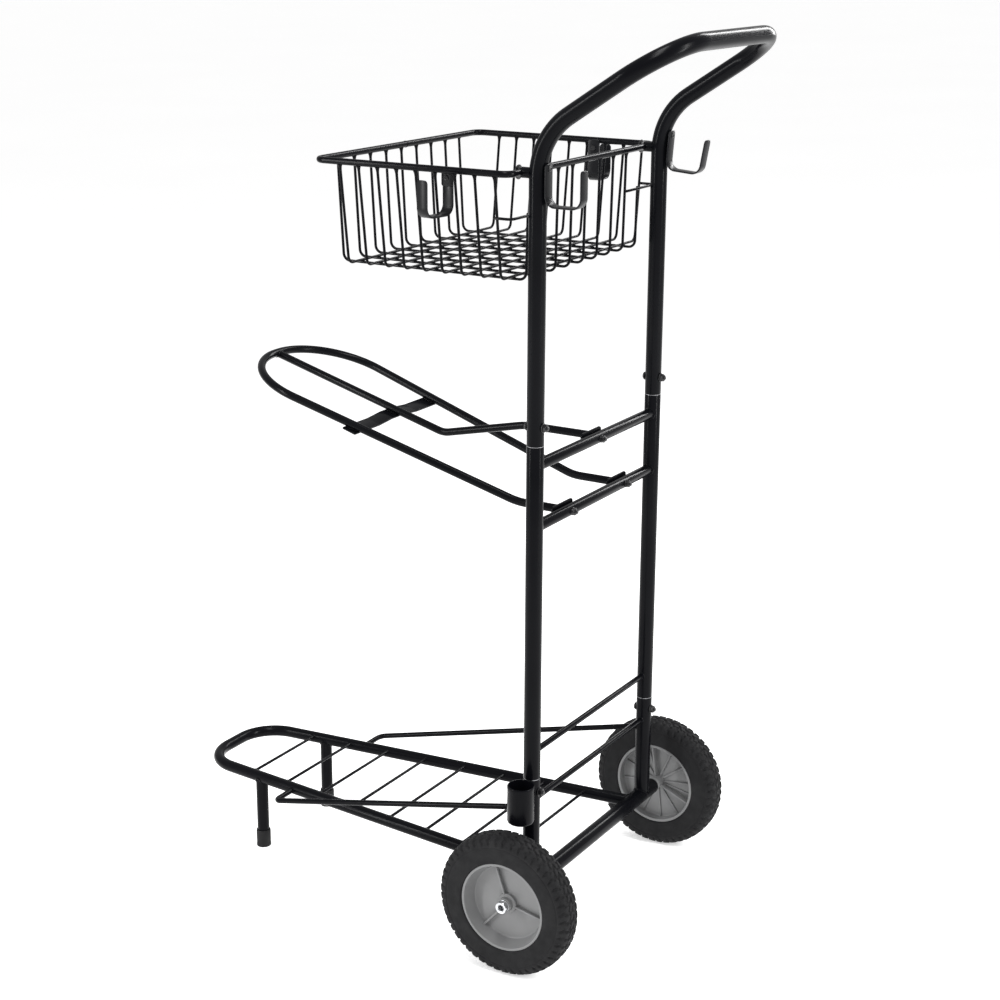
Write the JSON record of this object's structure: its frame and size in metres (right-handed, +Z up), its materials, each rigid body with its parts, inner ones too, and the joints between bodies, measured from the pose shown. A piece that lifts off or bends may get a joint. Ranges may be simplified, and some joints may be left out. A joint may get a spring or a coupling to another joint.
{
  "type": "saddle and tack trolley",
  "caption": "Upright tube cart on wheels, with a tray base, a saddle rack, a wire basket, strap hooks, a whip cup and a bent push handle.",
  "frame": {"origin": "centre of the footprint box, on the floor under the wheels and feet", "axes": "+Z up, -Y towards the front of the tray, +X to the left of a person who holds the handle and faces the tray; the posts lean back 1.5 degrees"},
  "size_m": [0.5424, 0.9532, 1.3491],
  "materials": {
    "black_powder_coat": "glossy powder coat with a slight orange peel",
    "black_plug": "matte",
    "rubber_foot": "matte",
    "tyre": "matte moulded rubber",
    "grey_hub": "satin moulded",
    "zinc_steel": "bright zinc plate"
  },
  "bodies": {
    "frame": {"axle_tube": "black_powder_coat", "axle_plugs": "black_plug", "base_post_left": "black_powder_coat", "base_post_right": "black_powder_coat", "base_cross_rod": "black_powder_coat", "tray_loop": "black_powder_coat", "tray_rods": "black_powder_coat", "side_guard_left": "black_powder_coat", "side_guard_right": "black_powder_coat", "leg_left": "black_powder_coat", "leg_right": "black_powder_coat", "foot_cap_left": "rubber_foot", "foot_cap_right": "rubber_foot", "whip_cup": "black_powder_coat", "upright_left": "black_powder_coat", "upright_right": "black_powder_coat", "upper_cross_tube": "black_powder_coat", "lower_cross_tube": "black_powder_coat", "frame_cross_rod": "black_powder_coat", "handle_tube": "black_powder_coat", "joint_bolts": "black_powder_coat", "joint_washers": "black_powder_coat", "joint_nuts": "black_powder_coat", "rack_loop": "black_powder_coat", "rack_ridge_bar": "black_powder_coat", "rack_strap": "black_powder_coat", "rack_end_plates": "black_powder_coat", "rack_studs": "black_powder_coat", "rack_nuts": "black_powder_coat", "basket_rim": "black_powder_coat", "basket_long_wires": "black_powder_coat", "basket_cross_wires": "black_powder_coat", "basket_corner_wires": "black_powder_coat", "basket_spacers": "black_powder_coat", "basket_bolts": "black_powder_coat", "basket_rivet_nuts": "zinc_steel", "hook_post_left": "black_powder_coat", "hook_post_right": "black_powder_coat", "hook_post_screws": "black_powder_coat", "hook_rim_left": "black_powder_coat", "hook_rim_right": "black_powder_coat", "hook_rim_tabs": "black_powder_coat", "hook_rim_screws": "black_powder_coat", "axle_rod": "zinc_steel", "axle_washers": "zinc_steel", "axle_nuts": "zinc_steel"},
    "left_wheel": {"tyre_left": "tyre", "hub_left": "grey_hub", "bush_left": "zinc_steel"},
    "right_wheel": {"tyre_right": "tyre", "hub_right": "grey_hub", "bush_right": "zinc_steel"}
  },
  "joints": [
    {"name": "left_wheel_spin", "type": "hinge", "parent": "frame", "child": "left_wheel", "pos_m": [0.249, 0.23679, 0.11], "axis": [1, 0, 0], "continuous": true},
    {"name": "right_wheel_spin", "type": "hinge", "parent": "frame", "child": "right_wheel", "pos_m": [-0.249, 0.23679, 0.11], "axis": [1, 0, 0], "continuous": true}
  ]
}
